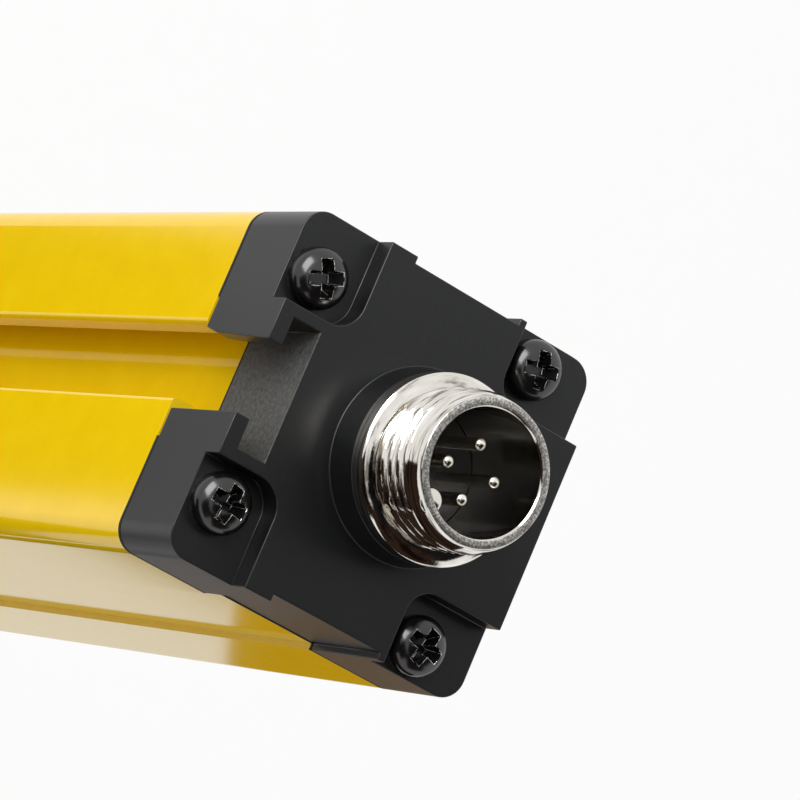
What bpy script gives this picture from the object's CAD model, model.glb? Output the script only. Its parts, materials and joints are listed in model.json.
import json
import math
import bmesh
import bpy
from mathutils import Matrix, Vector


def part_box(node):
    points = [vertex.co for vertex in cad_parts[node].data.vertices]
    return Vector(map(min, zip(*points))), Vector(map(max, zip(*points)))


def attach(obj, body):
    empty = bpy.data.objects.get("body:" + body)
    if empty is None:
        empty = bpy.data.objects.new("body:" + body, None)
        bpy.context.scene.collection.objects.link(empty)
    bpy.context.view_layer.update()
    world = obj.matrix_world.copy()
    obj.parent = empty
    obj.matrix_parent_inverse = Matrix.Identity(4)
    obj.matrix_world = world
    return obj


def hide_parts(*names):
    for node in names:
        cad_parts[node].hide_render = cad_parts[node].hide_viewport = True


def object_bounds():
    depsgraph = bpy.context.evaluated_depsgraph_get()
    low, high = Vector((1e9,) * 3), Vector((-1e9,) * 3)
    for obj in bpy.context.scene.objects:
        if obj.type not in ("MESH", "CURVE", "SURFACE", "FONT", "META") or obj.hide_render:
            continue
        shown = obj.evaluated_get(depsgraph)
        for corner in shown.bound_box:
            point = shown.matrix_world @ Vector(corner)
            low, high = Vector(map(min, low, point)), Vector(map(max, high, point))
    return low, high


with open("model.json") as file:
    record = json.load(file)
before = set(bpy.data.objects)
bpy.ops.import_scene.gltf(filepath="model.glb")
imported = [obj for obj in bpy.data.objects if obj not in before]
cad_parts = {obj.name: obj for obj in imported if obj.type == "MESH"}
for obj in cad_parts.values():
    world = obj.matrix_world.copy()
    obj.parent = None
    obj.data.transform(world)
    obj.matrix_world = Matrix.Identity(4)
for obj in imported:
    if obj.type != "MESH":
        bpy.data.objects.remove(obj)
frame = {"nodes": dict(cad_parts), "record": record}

# %% [markdown]
# # A safety light curtain, dressed for its picture
#
# The bar is a square aluminium extrusion, painted yellow, with a black moulded cap on each end
# and a round plug connector on one of them. The measured solids are already in the file. This
# lesson gives them their finishes, swaps the plain stand-ins for detailed pieces, and sets up
# the camera and the light.
#
# First we keep the box that the solids fill. At the end we compare it with the dressed bar, so
# that no piece added on the way changes the size of the object.

cad_low, cad_high = [list(corner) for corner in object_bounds()]
MM = 0.001
print("solids:", [round((high - low) / MM, 2) for low, high in zip(cad_low, cad_high)], "mm")

# %% [markdown]
# ## Where things are
#
# The solids say where each piece sits, so every place below is read from them. The connector
# stands on a round boss of the cap, a little off the middle of the bar.

# %% Read the places of the main pieces
def box_corners(name):
    """The lowest and the highest corner of a solid's box."""
    return [Vector(corner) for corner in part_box(name)]


cap_high = box_corners("connector_cap")[1]
profile_high = box_corners("profile")[1]
insert_high = box_corners("connector_insulator")[1]
shell_low, shell_high = box_corners("connector_shell")
pins_low, pins_high = box_corners("contact_pins")
seat = Vector(((shell_low.x + shell_high.x) / 2, (shell_low.y + shell_high.y) / 2, cap_high.z))
print("connector seat:", [round(value / MM, 2) for value in seat], "mm")

# %% [markdown]
# ## The camera
#
# The bar is seen from above its connector end, from far off and through a long lens, so its
# edges stay almost parallel. The eye leans over towards the slot side. A camera can be aimed
# with angles, with a constraint or with a matrix. The matrix is chosen because it holds the
# lean and the direction in one place.

# %% Stand the camera
eye = Vector((-71.9, 179.4, 515.7)) * MM
backward = Vector((-0.20954, 0.49119, 0.84548)).normalized()
upward = Vector((0.89953, 0.43581, -0.03025))
side = upward.cross(backward).normalized()
upward = backward.cross(side)
camera_data = bpy.data.cameras.new("camera")
camera_data.lens = 221.0
camera_data.sensor_width = 36.0
camera_data.clip_start = 0.01
camera = bpy.data.objects.new("camera", camera_data)
camera.matrix_world = Matrix.Translation(eye) @ Matrix((side, upward, backward)).transposed().to_4x4()
bpy.context.collection.objects.link(camera)
bpy.context.scene.camera = camera
print("camera is", round((eye - seat).length / MM), "mm from the connector")

# %% [markdown]
# ## Small helpers
#
# Colours are noted as the hex values that painters and web pages use. The renderer works with
# linear light, so one function converts them. Another adds a node with its settings and links,
# which keeps each material readable.

# %% Colours and nodes
def linear(code):
    """Turn an sRGB hex colour such as #EBC816 into linear red, green, blue and a full alpha."""
    channels = [int(code[index:index + 2], 16) / 255 for index in (1, 3, 5)]
    return tuple(c / 12.92 if c <= 0.04045 else ((c + 0.055) / 1.055) ** 2.4 for c in channels) + (1.0,)


def add_node(owner, kind, values=None, links=None, **settings):
    """Add one node to a material or the world: its settings, plain inputs, and what feeds it."""
    node = owner.node_tree.nodes.new("ShaderNode" + kind)
    for name, value in settings.items():
        setattr(node, name, value)
    for name, value in (values or {}).items():
        node.inputs[name].default_value = value
    for name, source in (links or {}).items():
        owner.node_tree.links.new(source, node.inputs[name])
    return node


def seen_by(owner, rays):
    """A factor that is one for the named kinds of ray and nothing for all others."""
    path = add_node(owner, "LightPath")
    seen = path.outputs[rays[0]]
    for ray in rays[1:]:
        either = add_node(owner, "Math", links={0: seen, 1: path.outputs[ray]}, operation="MAXIMUM")
        seen = either.outputs["Value"]
    return seen


def start_material(name):
    """An empty material with a shader, its output and the object's own coordinates."""
    material = bpy.data.materials.new(name)
    material.use_nodes = True
    material.node_tree.nodes.clear()
    place = add_node(material, "TexCoord").outputs["Object"]
    shader = add_node(material, "BsdfPrincipled")
    add_node(material, "OutputMaterial", links={"Surface": shader.outputs["BSDF"]})
    return material, shader, place


def blend_colours(material, factor, stops):
    """Colours along a factor: stops are pairs of a position and a hex colour."""
    ramp = add_node(material, "ValToRGB", links={"Fac": factor})
    points = ramp.color_ramp.elements
    while len(points) < len(stops):
        points.new(0.5)
    for point, (position, code) in zip(points, stops):
        point.position, point.color = position, linear(code)
    return ramp.outputs["Color"]


def feed(material, shader, **sources):
    """Link outputs to the shader's inputs. An underscore in a name stands for a space."""
    for name, source in sources.items():
        material.node_tree.links.new(source, shader.inputs[name.replace("_", " ")])


def per_mm(millimetres):
    """The texture scale that makes one feature of a pattern this many millimetres wide."""
    return 1.0 / (millimetres * MM)


print("yellow in linear light:", [round(value, 3) for value in linear("#EBC816")[:3]])

# %% [markdown]
# ## Light and floor
#
# Shiny paint and nickel are pictures of the room around them. A white tent with one large lamp
# is the usual way to light them: broad soft highlights and no hard glare. The world gives the
# tent. It is plain white to the eye and to mirrors, and dimmer as a lamp, so that colours come
# out about as they are written.

# %% Make the tent
TENT_AS_LAMP, TENT_AS_SEEN = 0.50, 1.0
tent = bpy.data.worlds.new("white_tent")
bpy.context.scene.world = tent
tent.use_nodes = True
tent.node_tree.nodes.clear()
lamp_side = add_node(tent, "Background", {"Color": (1, 1, 1, 1), "Strength": TENT_AS_LAMP})
eye_side = add_node(tent, "Background", {"Color": (1, 1, 1, 1), "Strength": TENT_AS_SEEN})
chosen_side = add_node(tent, "MixShader", links={
    0: seen_by(tent, ("Is Camera Ray", "Is Glossy Ray", "Is Transmission Ray")),
    1: lamp_side.outputs["Background"], 2: eye_side.outputs["Background"]})
add_node(tent, "OutputWorld", links={"Surface": chosen_side.outputs["Shader"]})
bpy.context.scene.view_settings.view_transform = "Standard"
print("tent nodes:", len(tent.node_tree.nodes))

# %% [markdown]
# A lamp's power is easiest to choose by the share of the light that it should give. For a lamp
# that faces the object, power = pi squared x distance squared x share.

# %% Hang the lamp
def hang_lamp(name, place, width, height, share):
    """A rectangular soft lamp at a place in millimetres, aimed at the connector."""
    data = bpy.data.lights.new(name, "AREA")
    data.shape = "RECTANGLE"
    data.size, data.size_y = width * MM, height * MM
    lamp = bpy.data.objects.new(name, data)
    lamp.location = Vector(place) * MM
    aim = seat - lamp.location
    data.energy = math.pi ** 2 * aim.length ** 2 * share
    lamp.rotation_euler = aim.to_track_quat("-Z", "Y").to_euler()
    bpy.context.collection.objects.link(lamp)
    print(name, "gives", round(data.energy, 2), "W from", round(aim.length / MM), "mm")


hang_lamp("key_lamp", (260, 420, 620), 420, 420, 0.90)

# %% [markdown]
# A room that is white all round washes paint out and makes nickel look like plaster. The usual
# remedy is to stand dark cards, called flags, where the shiny faces look. They are only seen in
# reflections here: they throw no shadow and the eye passes through them.

# %% Stand the flags
def make_flag(name, place, width, height, shade):
    """A card at a place in millimetres that only mirrors can see."""
    mesh = bmesh.new()
    bmesh.ops.create_grid(mesh, x_segments=2, y_segments=2, size=0.5)
    data = bpy.data.meshes.new(name)
    mesh.to_mesh(data)
    mesh.free()
    flag = bpy.data.objects.new(name, data)
    flag.location = Vector(place) * MM
    flag.scale = (width * MM, height * MM, 1)
    flag.visible_camera = False
    flag.visible_shadow = False
    flag.visible_diffuse = False
    card = bpy.data.materials.new(name + "_card")
    card.use_nodes = True
    card.node_tree.nodes.clear()
    glow = add_node(card, "Emission", {"Color": shade + (1,)})
    add_node(card, "OutputMaterial", links={"Surface": glow.outputs["Emission"]})
    data.materials.append(card)
    bpy.context.collection.objects.link(flag)
    return flag


def stand_flag(name, place, width, height, shade):
    """A standing card that faces the connector."""
    flag = make_flag(name, place, width, height, shade)
    flag.rotation_euler = (seat - flag.location).to_track_quat("Z", "Y").to_euler()


def lay_flag(name, place, width, length, shade, turn=0.0):
    """A card flat on the floor, its length turned from the X axis by some degrees."""
    flag = make_flag(name, place, length, width, shade)
    flag.rotation_euler.z = math.radians(turn)


BLACK_CARD, BROWN_CARD, ORANGE_CARD = (0.01, 0.01, 0.01), (0.030, 0.017, 0.012), (0.42, 0.20, 0.015)
# On the floor, for the walls of the slot, the bar's corner, and the side of the cap.
lay_flag("slot_side_flag", (26.5, 69, 4), 34, 124, BLACK_CARD, turn=68.5)
lay_flag("corner_flag", (-83, 30, 4), 130, 56, BLACK_CARD)
lay_flag("cap_flag", (-80.3, -100, 4), 110, 60, BLACK_CARD)
lay_flag("warm_flag", (-58.9, -135.9, 4.5), 60, 60, ORANGE_CARD, turn=-22.4)
# Overhead, for the raised face of the cap and the top of the connector's flange.
stand_flag("top_flag", (-20, -230, 560), 240, 300, BLACK_CARD)
lay_flag("ceiling_flag", (-42, -35, 560), 170, 170, BLACK_CARD)
# Round the connector, for the lower half of its thread.
stand_flag("brown_flag", (-215, -140, 480), 330, 360, BROWN_CARD)
stand_flag("near_flag", (-208, 200, 488), 340, 340, BROWN_CARD)
stand_flag("left_flag", (-132, 128, 136), 220, 120, BROWN_CARD)
stand_flag("lower_flag", (-172, -40, 114), 220, 120, BROWN_CARD)

# %% [markdown]
# ## The floor
#
# A white paper sheet under the bar takes its soft shadow. A share of its white is given straight
# to eyes and mirrors, so that a plain level of light doesn't leave the background grey.

# %% Lay the floor
PAPER_SHARE = 0.85  # how much of its plain white the paper keeps to eyes and mirrors
paper, paper_shader, paper_place = start_material("matt_white_paper")
fibre = add_node(paper, "TexNoise", {"Scale": per_mm(4.0), "Detail": 3.0}, {"Vector": paper_place})
paper_shader.inputs["Roughness"].default_value = 0.9
paper_shader.inputs["Specular IOR Level"].default_value = 0.1
paper_colour = blend_colours(paper, fibre.outputs["Fac"], ((0.3, "#FCFCFB"), (0.7, "#FFFFFF")))
feed(paper, paper_shader, Base_Color=paper_colour)
paper_white = add_node(paper, "Emission", {"Color": (1, 1, 1, 1), "Strength": 1.0})
share = add_node(paper, "Math", {1: PAPER_SHARE}, {0: seen_by(paper, ("Is Camera Ray", "Is Glossy Ray"))},
                 operation="MULTIPLY")
paper_mix = add_node(paper, "MixShader", links={0: share.outputs["Value"], 1: paper_shader.outputs["BSDF"],
                                                2: paper_white.outputs["Emission"]})
paper_output = [node for node in paper.node_tree.nodes if node.type == "OUTPUT_MATERIAL"][0]
paper.node_tree.links.new(paper_mix.outputs["Shader"], paper_output.inputs["Surface"])

sheet = bmesh.new()
bmesh.ops.create_grid(sheet, x_segments=8, y_segments=8, size=3.0)
sheet_data = bpy.data.meshes.new("floor")
sheet.to_mesh(sheet_data)
sheet.free()
sheet_data.materials.append(paper)
floor = bpy.data.objects.new("floor", sheet_data)
floor.location.z = cad_low[2]
bpy.context.collection.objects.link(floor)
print("floor at", round(floor.location.z / MM, 2), "mm")

# %% [markdown]
# ## Yellow powder coat
#
# The extrusion is painted with a glossy powder coat. The powder melts into a skin that is not
# quite flat: a soft orange peel, one or two millimetres across, shows in its reflections. The
# drawing of the aluminium through its die leaves faint lines along the bar under the paint.
# Both are bump patterns, since neither changes the outline.

# %% Mix the powder coat
coat, coat_shader, coat_place = start_material("gloss_powder_coat_on_extruded_aluminium")
peel = add_node(coat, "TexNoise", {"Scale": per_mm(2.2), "Detail": 2.0}, {"Vector": coat_place})
stretch = add_node(coat, "Mapping", {"Scale": (1.0, 1.0, 0.01)}, {"Vector": coat_place})
die_lines = add_node(coat, "TexNoise", {"Scale": per_mm(1.1), "Detail": 4.0},
                     {"Vector": stretch.outputs["Vector"]})
coat_colour = blend_colours(coat, peel.outputs["Fac"], ((0.25, "#E8BF00"), (0.75, "#EDC505")))
peel_bump = add_node(coat, "Bump", {"Strength": 0.05, "Distance": 0.01 * MM},
                     {"Height": peel.outputs["Fac"]})
line_bump = add_node(coat, "Bump", {"Strength": 0.05, "Distance": 0.005 * MM},
                     {"Height": die_lines.outputs["Fac"], "Normal": peel_bump.outputs["Normal"]})
coat_shader.inputs["Roughness"].default_value = 0.08
coat_shader.inputs["IOR"].default_value = 1.5
feed(coat, coat_shader, Base_Color=coat_colour, Normal=line_bump.outputs["Normal"])
print("powder coat nodes:", len(coat.node_tree.nodes))

# %% [markdown]
# ## Black moulded nylon
#
# The caps are glass-filled nylon from a steel mould. The outer skin is satin black with a very
# fine grain. Where the slot is cored out, the steel was left rough, so the floor of the slot in
# the cap is a dull grey with a coarse grain. The material finds that floor by its place.

# %% Mix the nylon
CAP_SLOT_DEPTH, SLOT_HALF_WIDTH, FLOOR_MARGIN = 3.83, 5.2, 0.06
slot_floor = profile_high.y - CAP_SLOT_DEPTH * MM
nylon, nylon_shader, nylon_place = start_material("moulded_black_nylon")
nylon_axes = add_node(nylon, "SeparateXYZ", links={"Vector": nylon_place})
at_floor = add_node(nylon, "Math", {1: slot_floor, 2: FLOOR_MARGIN * MM}, {0: nylon_axes.outputs["Y"]},
                    operation="COMPARE")
in_slot = add_node(nylon, "Math", {1: 0.0, 2: SLOT_HALF_WIDTH * MM}, {0: nylon_axes.outputs["X"]},
                   operation="COMPARE")
rough_wall = add_node(nylon, "Math", links={0: at_floor.outputs["Value"], 1: in_slot.outputs["Value"]},
                      operation="MULTIPLY").outputs["Value"]
grain = add_node(nylon, "TexNoise", {"Scale": per_mm(0.35), "Detail": 4.0, "Roughness": 0.6},
                 {"Vector": nylon_place})
skin_colour = blend_colours(nylon, grain.outputs["Fac"], ((0.3, "#08090A"), (0.7, "#0E0F10")))
wall_colour = blend_colours(nylon, grain.outputs["Fac"], ((0.3, "#2A2A29"), (0.7, "#565653")))
nylon_colour = add_node(nylon, "MixRGB", links={"Fac": rough_wall, "Color1": skin_colour,
                                                "Color2": wall_colour})
nylon_gloss = add_node(nylon, "MapRange", {"To Min": 0.36, "To Max": 0.6}, {"Value": rough_wall})
nylon_depth = add_node(nylon, "MapRange", {"To Min": 0.2, "To Max": 0.8}, {"Value": rough_wall})
nylon_bump = add_node(nylon, "Bump", {"Distance": 0.03 * MM},
                      {"Height": grain.outputs["Fac"], "Strength": nylon_depth.outputs["Result"]})
nylon_shader.inputs["IOR"].default_value = 1.53
nylon_shader.inputs["Specular IOR Level"].default_value = 0.5
feed(nylon, nylon_shader, Base_Color=nylon_colour.outputs["Color"], Roughness=nylon_gloss.outputs["Result"],
     Normal=nylon_bump.outputs["Normal"])
print("nylon nodes:", len(nylon.node_tree.nodes))

# %% [markdown]
# ## Bright nickel
#
# The connector's shell is turned brass with a bright nickel plate: a warm, nearly white mirror.
# The lathe leaves thin lines round its outside, and fine chatter that breaks its reflections up.
# The bore was reamed smooth. The end of the shell was faced with a blunt tool, so everything at
# that height is dull and grainy. The material tells the three apart by their places.

# %% Mix the nickel
OUTSIDE_RADIUS = 5.1
nickel, nickel_shader, nickel_place = start_material("bright_nickel_on_turned_brass")
along = add_node(nickel, "Mapping", {"Scale": (0.05, 0.05, 1.0)}, {"Vector": nickel_place})
lathe = add_node(nickel, "TexNoise", {"Scale": per_mm(0.16), "Detail": 3.0},
                 {"Vector": along.outputs["Vector"]})
chatter = add_node(nickel, "TexNoise", {"Scale": per_mm(0.18), "Detail": 4.0, "Roughness": 0.7},
                   {"Vector": nickel_place})
nickel_axes = add_node(nickel, "SeparateXYZ", links={"Vector": nickel_place})
faced = add_node(nickel, "Math", {1: shell_high.z - 0.02 * MM}, {0: nickel_axes.outputs["Z"]},
                 operation="GREATER_THAN").outputs["Value"]
bright_colour = blend_colours(nickel, lathe.outputs["Fac"],
                              ((0.36, "#79746C"), (0.46, "#DAD6CE"), (0.7, "#F1EEE9")))
flat_place = add_node(nickel, "VectorMath", {1: (1, 1, 0)}, {0: nickel_place}, operation="MULTIPLY")
from_axis = add_node(nickel, "VectorMath", {1: (seat.x, seat.y, 0)}, {0: flat_place.outputs["Vector"]},
                     operation="DISTANCE")
outside = add_node(nickel, "Math", {1: OUTSIDE_RADIUS * MM}, {0: from_axis.outputs["Value"]},
                   operation="GREATER_THAN")
turned_colour = add_node(nickel, "MixRGB", {"Color1": linear("#DAD6CE")},
                         {"Fac": outside.outputs["Value"], "Color2": bright_colour}).outputs["Color"]
faced_colour = blend_colours(nickel, chatter.outputs["Fac"], ((0.45, "#85837F"), (0.66, "#E8E4DE")))
nickel_colour = add_node(nickel, "MixRGB", links={"Fac": faced, "Color1": turned_colour,
                                                  "Color2": faced_colour})
nickel_gloss = add_node(nickel, "MapRange", {"To Min": 0.07, "To Max": 0.36}, {"Value": faced})
nickel_depth = add_node(nickel, "MapRange", {"To Min": 0.12, "To Max": 0.9}, {"Value": faced})
nickel_bump = add_node(nickel, "Bump", {"Distance": 0.03 * MM},
                       {"Height": chatter.outputs["Fac"], "Strength": nickel_depth.outputs["Result"]})
nickel_shader.inputs["Metallic"].default_value = 1.0
feed(nickel, nickel_shader, Base_Color=nickel_colour.outputs["Color"],
     Roughness=nickel_gloss.outputs["Result"], Normal=nickel_bump.outputs["Normal"])
print("nickel nodes:", len(nickel.node_tree.nodes))

# %% [markdown]
# ## Black screws
#
# The cap screws are steel under a glossy black oxide, which is not a mirror but a dark glass:
# no metal shows through it. Only the edges of the cross recess, where the driver has slipped,
# are worn to bright metal, in chips a few tenths of a millimetre long.

# %% Mix the oxide and the worn edge
oxide, oxide_shader, oxide_place = start_material("glossy_black_oxide_on_steel")
pitting = add_node(oxide, "TexNoise", {"Scale": per_mm(0.5), "Detail": 4.0, "Roughness": 0.6},
                   {"Vector": oxide_place})
oxide_colour = blend_colours(oxide, pitting.outputs["Fac"], ((0.3, "#070707"), (0.7, "#101010")))
oxide_bump = add_node(oxide, "Bump", {"Strength": 0.3, "Distance": 0.02 * MM},
                      {"Height": pitting.outputs["Fac"]})
oxide_shader.inputs["Roughness"].default_value = 0.2
oxide_shader.inputs["IOR"].default_value = 1.65
feed(oxide, oxide_shader, Base_Color=oxide_colour, Normal=oxide_bump.outputs["Normal"])

worn, worn_shader, worn_place = start_material("steel_worn_bright_by_the_driver")
chips = add_node(worn, "TexNoise", {"Scale": per_mm(0.5), "Detail": 3.0, "Roughness": 0.6},
                 {"Vector": worn_place})
worn_colour = blend_colours(worn, chips.outputs["Fac"], ((0.44, "#121212"), (0.50, "#F0ECE6")))
worn_shader.inputs["Metallic"].default_value = 1.0
worn_shader.inputs["Roughness"].default_value = 0.35
feed(worn, worn_shader, Base_Color=worn_colour)
print("screw finishes:", oxide.name, "and", worn.name)

# %% [markdown]
# ## The other finishes
#
# Rubber, laminate, chip packages and the rest are all the same kind of surface to the eye: one
# colour with a fine grain, more or less glossy. One function makes them, and each finish says
# its two shades, its grain in millimetres, its gloss, and whether it is a metal.

# %% A function for grained finishes
def grained_finish(name, dark, light, grain_mm, roughness, metallic=0.0, depth_mm=0.02):
    """A surface with a fine grain between two shades."""
    material, shader, place = start_material(name)
    fine = add_node(material, "TexNoise", {"Scale": per_mm(grain_mm), "Detail": 4.0}, {"Vector": place})
    tint = blend_colours(material, fine.outputs["Fac"], ((0.3, dark), (0.7, light)))
    relief = add_node(material, "Bump", {"Strength": 0.3, "Distance": depth_mm * MM},
                      {"Height": fine.outputs["Fac"]})
    shader.inputs["Roughness"].default_value = roughness
    shader.inputs["Metallic"].default_value = metallic
    feed(material, shader, Base_Color=tint, Normal=relief.outputs["Normal"])
    return material


def clear_finish(name, dark, light, roughness, ior=1.49):
    """A clear plastic with a faint unevenness, seen through rather than seen."""
    material = grained_finish(name, dark, light, 3.0, roughness, depth_mm=0.003)
    shader = [node for node in material.node_tree.nodes if node.type == "BSDF_PRINCIPLED"][0]
    shader.inputs["Transmission Weight"].default_value = 1.0
    shader.inputs["IOR"].default_value = ior
    return material


finishes = {
    "gasket_rubber": grained_finish("die_cut_nitrile_rubber", "#0B0B0B", "#151515", 0.5, 0.75),
    "insert_nylon": grained_finish("moulded_black_insert_nylon", "#0A0A0B", "#121213", 0.4, 0.45),
    "gold_contacts": grained_finish("turned_bright_contacts", "#D9D4C8", "#F1EDE4", 0.6, 0.16, 1.0),
    "plated_steel": grained_finish("zinc_plated_steel", "#8B8C8E", "#A9AAAC", 0.6, 0.35, 1.0),
    "holder_plastic": grained_finish("moulded_black_lens_strip", "#0C0C0C", "#161616", 0.5, 0.6),
    "board_laminate": grained_finish("green_solder_mask", "#0B4A24", "#0F5A2C", 1.5, 0.32),
    "chip_plastic": grained_finish("moulded_chip_epoxy", "#141414", "#1E1E1E", 0.2, 0.55),
    "capacitor_can": grained_finish("drawn_aluminium_can", "#B9BABC", "#D2D3D5", 0.8, 0.28, 1.0),
    "ferrite": grained_finish("pressed_ferrite", "#232325", "#343437", 0.3, 0.6),
    "indicator_lens": grained_finish("milky_indicator_epoxy", "#D9D8D0", "#E8E7E0", 1.0, 0.3),
    "header_nylon": grained_finish("natural_nylon", "#D8D0BA", "#E6DFCB", 0.8, 0.45),
    "wire_brown": grained_finish("brown_pvc", "#4A2A16", "#5A341C", 1.0, 0.4),
    "wire_white": grained_finish("white_pvc", "#DADAD6", "#EAEAE6", 1.0, 0.4),
    "wire_blue": grained_finish("blue_pvc", "#1B4C9A", "#245AAE", 1.0, 0.4),
    "wire_black": grained_finish("black_pvc", "#101010", "#1A1A1A", 1.0, 0.4),
    "window_acrylic": clear_finish("cast_clear_acrylic", "#EAF0F0", "#F4F8F8", 0.03),
    "lens_acrylic": clear_finish("moulded_lens_acrylic", "#EEF4F4", "#FAFCFC", 0.02),
    "diode_epoxy": clear_finish("tinted_diode_epoxy", "#5C5F86", "#6C7096", 0.08, 1.52),
    "yellow_paint": coat,
    "black_nylon": nylon,
    "black_steel": oxide,
    "nickel_brass": nickel,
}
print("finishes:", len(finishes))

# %% [markdown]
# ## Dress the solids
#
# The record names a material slot for every solid. The solids keep their shape, and their
# finish comes from that slot. Moulded and extruded edges are never knife sharp, so a bevel
# modifier rounds the edges of the caps and the extrusion by a few tenths of a millimetre.
# Joining the solid's triangles into whole flat faces first lets the bevel run cleanly.

# %% Give each solid its finish
slots = {entry["node"]: entry["material_slot"] for entry in frame["record"]["subparts"]}
for name, solid in frame["nodes"].items():
    solid.data.materials.clear()
    solid.data.materials.append(finishes[slots[name]])
print("dressed", len(frame["nodes"]), "solids")


# %% Round the moulded edges
def soften_edges(solid, width_mm, segments=3):
    """Round a solid's sharp edges, and keep the steps crisp that are too small to round."""
    weld = solid.modifiers.new("join", "WELD")
    weld.merge_threshold = 0.001 * MM
    flat = solid.modifiers.new("plain_faces", "DECIMATE")
    flat.decimate_type = "DISSOLVE"
    flat.angle_limit = math.radians(1.0)
    bevel = solid.modifiers.new("soft_edges", "BEVEL")
    bevel.width = width_mm * MM
    bevel.segments = segments
    bevel.limit_method = "ANGLE"
    bevel.angle_limit = math.radians(32)
    split = solid.modifiers.new("crisp_steps", "EDGE_SPLIT")
    split.split_angle = math.radians(35)
    solid.modifiers.new("even_light", "WEIGHTED_NORMAL")


for name, width in (("connector_cap", 0.25), ("blind_cap", 0.25), ("profile", 0.15)):
    soften_edges(frame["nodes"][name], width)
print("softened the caps and the extrusion")

# %% [markdown]
# ## The connector's shell
#
# The solid is a plain cylinder where the thread should be. A thread can be made by sweeping a
# triangle along a helix and fusing it, or by moving the points of one turned skin in and out
# with the helix. The second gives one clean closed skin, so the shell is turned here with one
# column of points for each small turn of the lathe, and the thread is written as a radius.

# %% Turn skins and rods
def ring_mesh(name, rows, capped, crease=None):
    """A closed mesh through rows of points. Its ends are capped, or its last row meets its first."""
    mesh = bmesh.new()
    rows = [[mesh.verts.new(point) for point in row] for row in rows]
    if not capped:
        rows.append(rows[0])
    for lower, upper in zip(rows, rows[1:]):
        for column in range(len(lower)):
            after = (column + 1) % len(lower)
            mesh.faces.new((lower[column], lower[after], upper[after], upper[column]))
    if capped:
        mesh.faces.new(rows[-1])
        mesh.faces.new(rows[0])
    bmesh.ops.recalc_face_normals(mesh, faces=mesh.faces)
    data = bpy.data.meshes.new(name)
    mesh.to_mesh(data)
    mesh.free()
    if crease:
        for face in data.polygons:
            face.use_smooth = True
        data.set_sharp_from_angle(angle=math.radians(crease))
    piece = bpy.data.objects.new(name, data)
    bpy.context.collection.objects.link(piece)
    return piece


def turned(centre, rings, columns, radius_at=None):
    """Rows of points round an upright axis. rings are (radius, height) pairs in mm."""
    rows = []
    for radius, height in rings:
        row = []
        for column in range(columns):
            angle = 2 * math.pi * column / columns
            reach = radius_at(radius, height, angle) if radius_at else radius
            row.append(Vector((math.cos(angle) * reach, math.sin(angle) * reach, height)) * MM + centre)
        rows.append(row)
    return rows


# %% Cut the thread into the skin
THREAD_RADIUS = 6.0
THREAD_PITCH = 1.03
THREAD_DEPTH = 0.60
FIRST_CREST, RUN_OUT = 1.81, 0.25
thread_start, thread_end = 1.66, 5.40
shell_top = (shell_high.z - seat.z) / MM
shell_foot = (shell_low.z - seat.z) / MM
insert_top = (insert_high.z - seat.z) / MM
bore_radius = 4.8
flange_radius = (shell_high.x - shell_low.x) / 2 / MM


def thread_radius(radius, height, angle):
    """The skin's radius: on the front thread it swings between crest and root."""
    if abs(radius - THREAD_RADIUS) > 0.001 or not thread_start <= height <= thread_end:
        return radius
    phase = (height - FIRST_CREST) / THREAD_PITCH - angle / (2 * math.pi)
    from_crest = 1 - abs((phase % 1.0) - 0.5) * 2
    fade = min(1.0, (thread_end - height) / RUN_OUT)
    return radius - THREAD_DEPTH * fade * min(1.0, max(0.0, from_crest * 1.6 - 0.2))


def shell_rings():
    """The turned outline, from the rear end up the outside, over the rim and down the bore."""
    rings = [(THREAD_RADIUS - 0.3, shell_foot), (THREAD_RADIUS, shell_foot + 0.3), (THREAD_RADIUS, -0.02),
             (THREAD_RADIUS + 0.1, 0.0), (flange_radius - 0.04, 0.0), (flange_radius, 0.04),
             (flange_radius, 1.30), (flange_radius - 0.20, 1.48), (THREAD_RADIUS + 0.02, 1.65)]
    step = THREAD_PITCH / 16
    count = int((thread_end - thread_start) / step)
    rings += [(THREAD_RADIUS, thread_start + index * step) for index in range(count + 1)]
    rings += [(5.90, 5.48), (5.90, 5.52), (6.0, 5.60), (5.88, 6.02), (5.72, 6.48),
              (5.52, shell_top - 0.03), (5.47, shell_top), (4.96, shell_top), (4.91, shell_top - 0.02),
              (bore_radius, shell_top - 0.14), (bore_radius, shell_top - 1.2),
              (bore_radius, insert_top + 0.2), (bore_radius, insert_top - 3.0), (bore_radius, shell_foot)]
    return rings


shell = ring_mesh("threaded_shell", turned(seat, shell_rings(), 180, thread_radius), False, 35)
shell.data.materials.append(nickel)
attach(shell, "root")
print("shell has", len(shell.data.polygons), "faces")

# %% [markdown]
# ## The key rib
#
# A half-round rib inside the shell lets the plug in one way only. It is a short rod sunk into
# the bore's wall, with a slightly rounded end.

# %% Add the key rib
KEY_TURN, KEY_RADIUS, KEY_SINK = 139.5, 0.95, 0.10
key_top = shell_top - 0.30
key_centre = seat + Vector((math.cos(math.radians(KEY_TURN)), math.sin(math.radians(KEY_TURN)), 0)) * (
    bore_radius + KEY_SINK) * MM
key_rings = [(KEY_RADIUS, insert_top - 0.5), (KEY_RADIUS, key_top - 0.12),
             (KEY_RADIUS - 0.04, key_top - 0.04), (KEY_RADIUS - 0.12, key_top)]
key = ring_mesh("key_rib", turned(key_centre, key_rings, 32), True, 40)
key.data.materials.append(nickel)
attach(key, "root")
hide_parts("connector_shell")
print("key rib stands to", round(key_top, 2), "mm")

# %% [markdown]
# ## The contacts
#
# Four turned pins with domed tips. The dome is a quarter circle in the outline of the rod.

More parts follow.
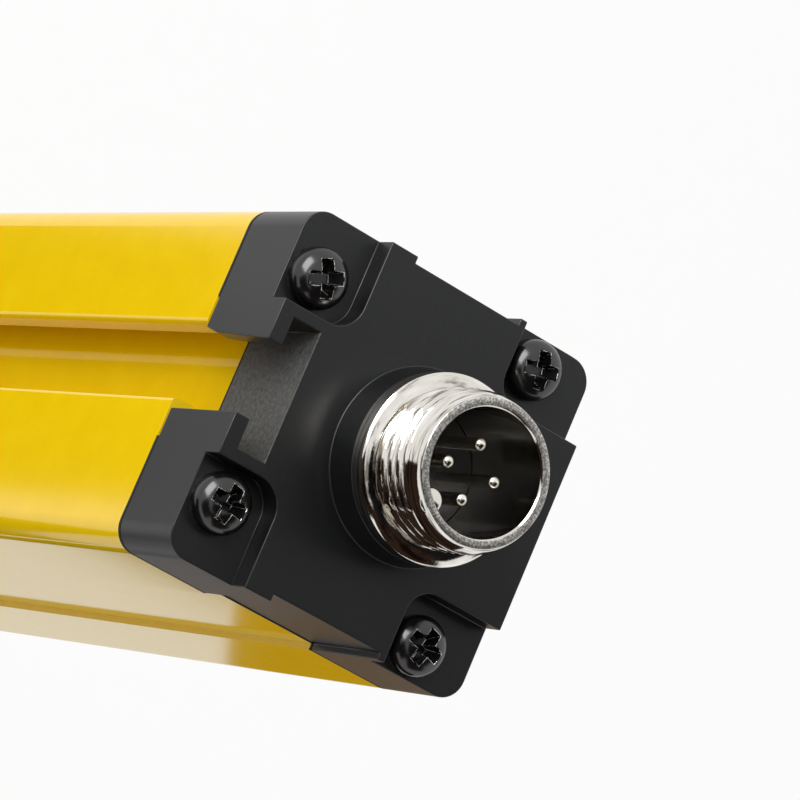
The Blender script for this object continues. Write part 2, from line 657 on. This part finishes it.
# %% Turn the pins
PIN_RADIUS, PIN_CIRCLE, PIN_TURN, DOME_HEIGHT = 0.5, 2.15, 4.5, 0.36
pin_top = (pins_high.z - seat.z) / MM
pin_foot = (pins_low.z - seat.z) / MM
pin_rings = [(PIN_RADIUS, pin_foot)]
for step in range(8):
    rise = step * math.pi / 16
    pin_rings.append((PIN_RADIUS * math.cos(rise), pin_top - DOME_HEIGHT * (1 - math.sin(rise))))
for index in range(4):
    angle = math.radians(PIN_TURN + 90 * index)
    pin_centre = seat + Vector((math.cos(angle), math.sin(angle), 0)) * PIN_CIRCLE * MM
    pin = ring_mesh("contact_pin_%d" % (index + 1), turned(pin_centre, pin_rings, 32), True, 40)
    pin.data.materials.append(finishes["gold_contacts"])
    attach(pin, "root")
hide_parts("contact_pins")
print("pins reach", round(pin_top, 2), "mm above the seat")

# %% [markdown]
# ## The cap screws
#
# Pan-head machine screws with a cross recess. The head is a low dome with a steep side. The
# recess could be drawn point by point, but a boolean is closer to the making: a tapered cross is
# sunk into the head, as the punch is that forms it. A fine bevel along the edges of the recess
# carries the worn finish.

# %% Model one screw and cut its recess
HEAD_RADIUS, HEAD_HEIGHT, HEAD_SIDE = 2.35, 1.8, 0.55
SHANK_RADIUS, SCREW_LENGTH = 1.25, 16.0
RECESS_FLOOR, RECESS_WEAR = 0.35, 0.07
PUNCH_TIP, PUNCH_ROOT = (0.85, 0.33), (1.72, 0.58)  # reach and half width of each arm


def head_rings():
    """Rings of the screw: its shank, a small under-edge, a steep side and a domed top."""
    rings = [(SHANK_RADIUS, -SCREW_LENGTH), (SHANK_RADIUS, 0.0), (HEAD_RADIUS - 0.08, 0.0),
             (HEAD_RADIUS, 0.08), (HEAD_RADIUS, HEAD_SIDE)]
    for step in range(1, 9):
        turn = step * math.pi / 2 / 9
        rings.append((HEAD_RADIUS * math.cos(turn) ** 0.8,
                      HEAD_SIDE + (HEAD_HEIGHT - HEAD_SIDE) * math.sin(turn) ** 0.9))
    return rings + [(0.12, HEAD_HEIGHT)]


def cross_row(height, reach, half):
    """The twelve corners of a cross at one height."""
    corners = []
    for quarter in range(4):
        spin = Matrix.Rotation(quarter * math.pi / 2, 3, "Z")
        for x, y in ((reach, half), (half, half), (half, reach)):
            corners.append(spin @ Vector((x, y, height)) * MM)
    return corners


def make_screw_mesh():
    """One screw about its own axis, with the recess cut and the result kept as a mesh."""
    model = ring_mesh("screw_model", turned(Vector(), head_rings(), 40), True, 40)
    model.data.materials.append(oxide)
    model.data.materials.append(worn)
    punch = ring_mesh("cross_punch", [cross_row(RECESS_FLOOR, *PUNCH_TIP),
                                      cross_row(HEAD_HEIGHT + 0.3, *PUNCH_ROOT)], True)
    recess = model.modifiers.new("recess", "BOOLEAN")
    recess.object, recess.solver = punch, "EXACT"
    rim = model.modifiers.new("rim", "BEVEL")
    rim.width, rim.segments, rim.material = RECESS_WEAR * MM, 2, 1
    rim.limit_method, rim.angle_limit = "ANGLE", math.radians(40)
    bpy.context.view_layer.update()
    shaped = bpy.data.meshes.new_from_object(model.evaluated_get(bpy.context.evaluated_depsgraph_get()))
    shaped.name = "cap_screw"
    for thing in (model, punch):
        bpy.data.objects.remove(thing)
    return shaped


screw_mesh = make_screw_mesh()
print("one screw has", len(screw_mesh.polygons), "faces")

# %% Stand the eight screws
BOSS_HEIGHT, PLATEAU_RISE = 2.6, 1.9
seat_heights = {"upper": cap_high.z / MM - BOSS_HEIGHT - PLATEAU_RISE, "lower": PLATEAU_RISE}
places = ((9.1, 11.3, 24), (-9.1, 11.3, -8), (11.4, -8.7, 12), (-11.4, -8.7, -15))
for end, height in seat_heights.items():
    for number, (x, y, turn) in enumerate(places, start=1):
        mesh = screw_mesh.copy()
        mesh.transform(Matrix.Rotation(math.radians(turn), 4, "Z"))
        if end == "lower":
            mesh.transform(Matrix.Rotation(math.pi, 4, "X"))
        screw = bpy.data.objects.new("cap_screw_%s_%d" % (end, number), mesh)
        screw.location = Vector((x, y, height)) * MM
        bpy.context.collection.objects.link(screw)
        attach(screw, "root")
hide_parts("cap_screws")
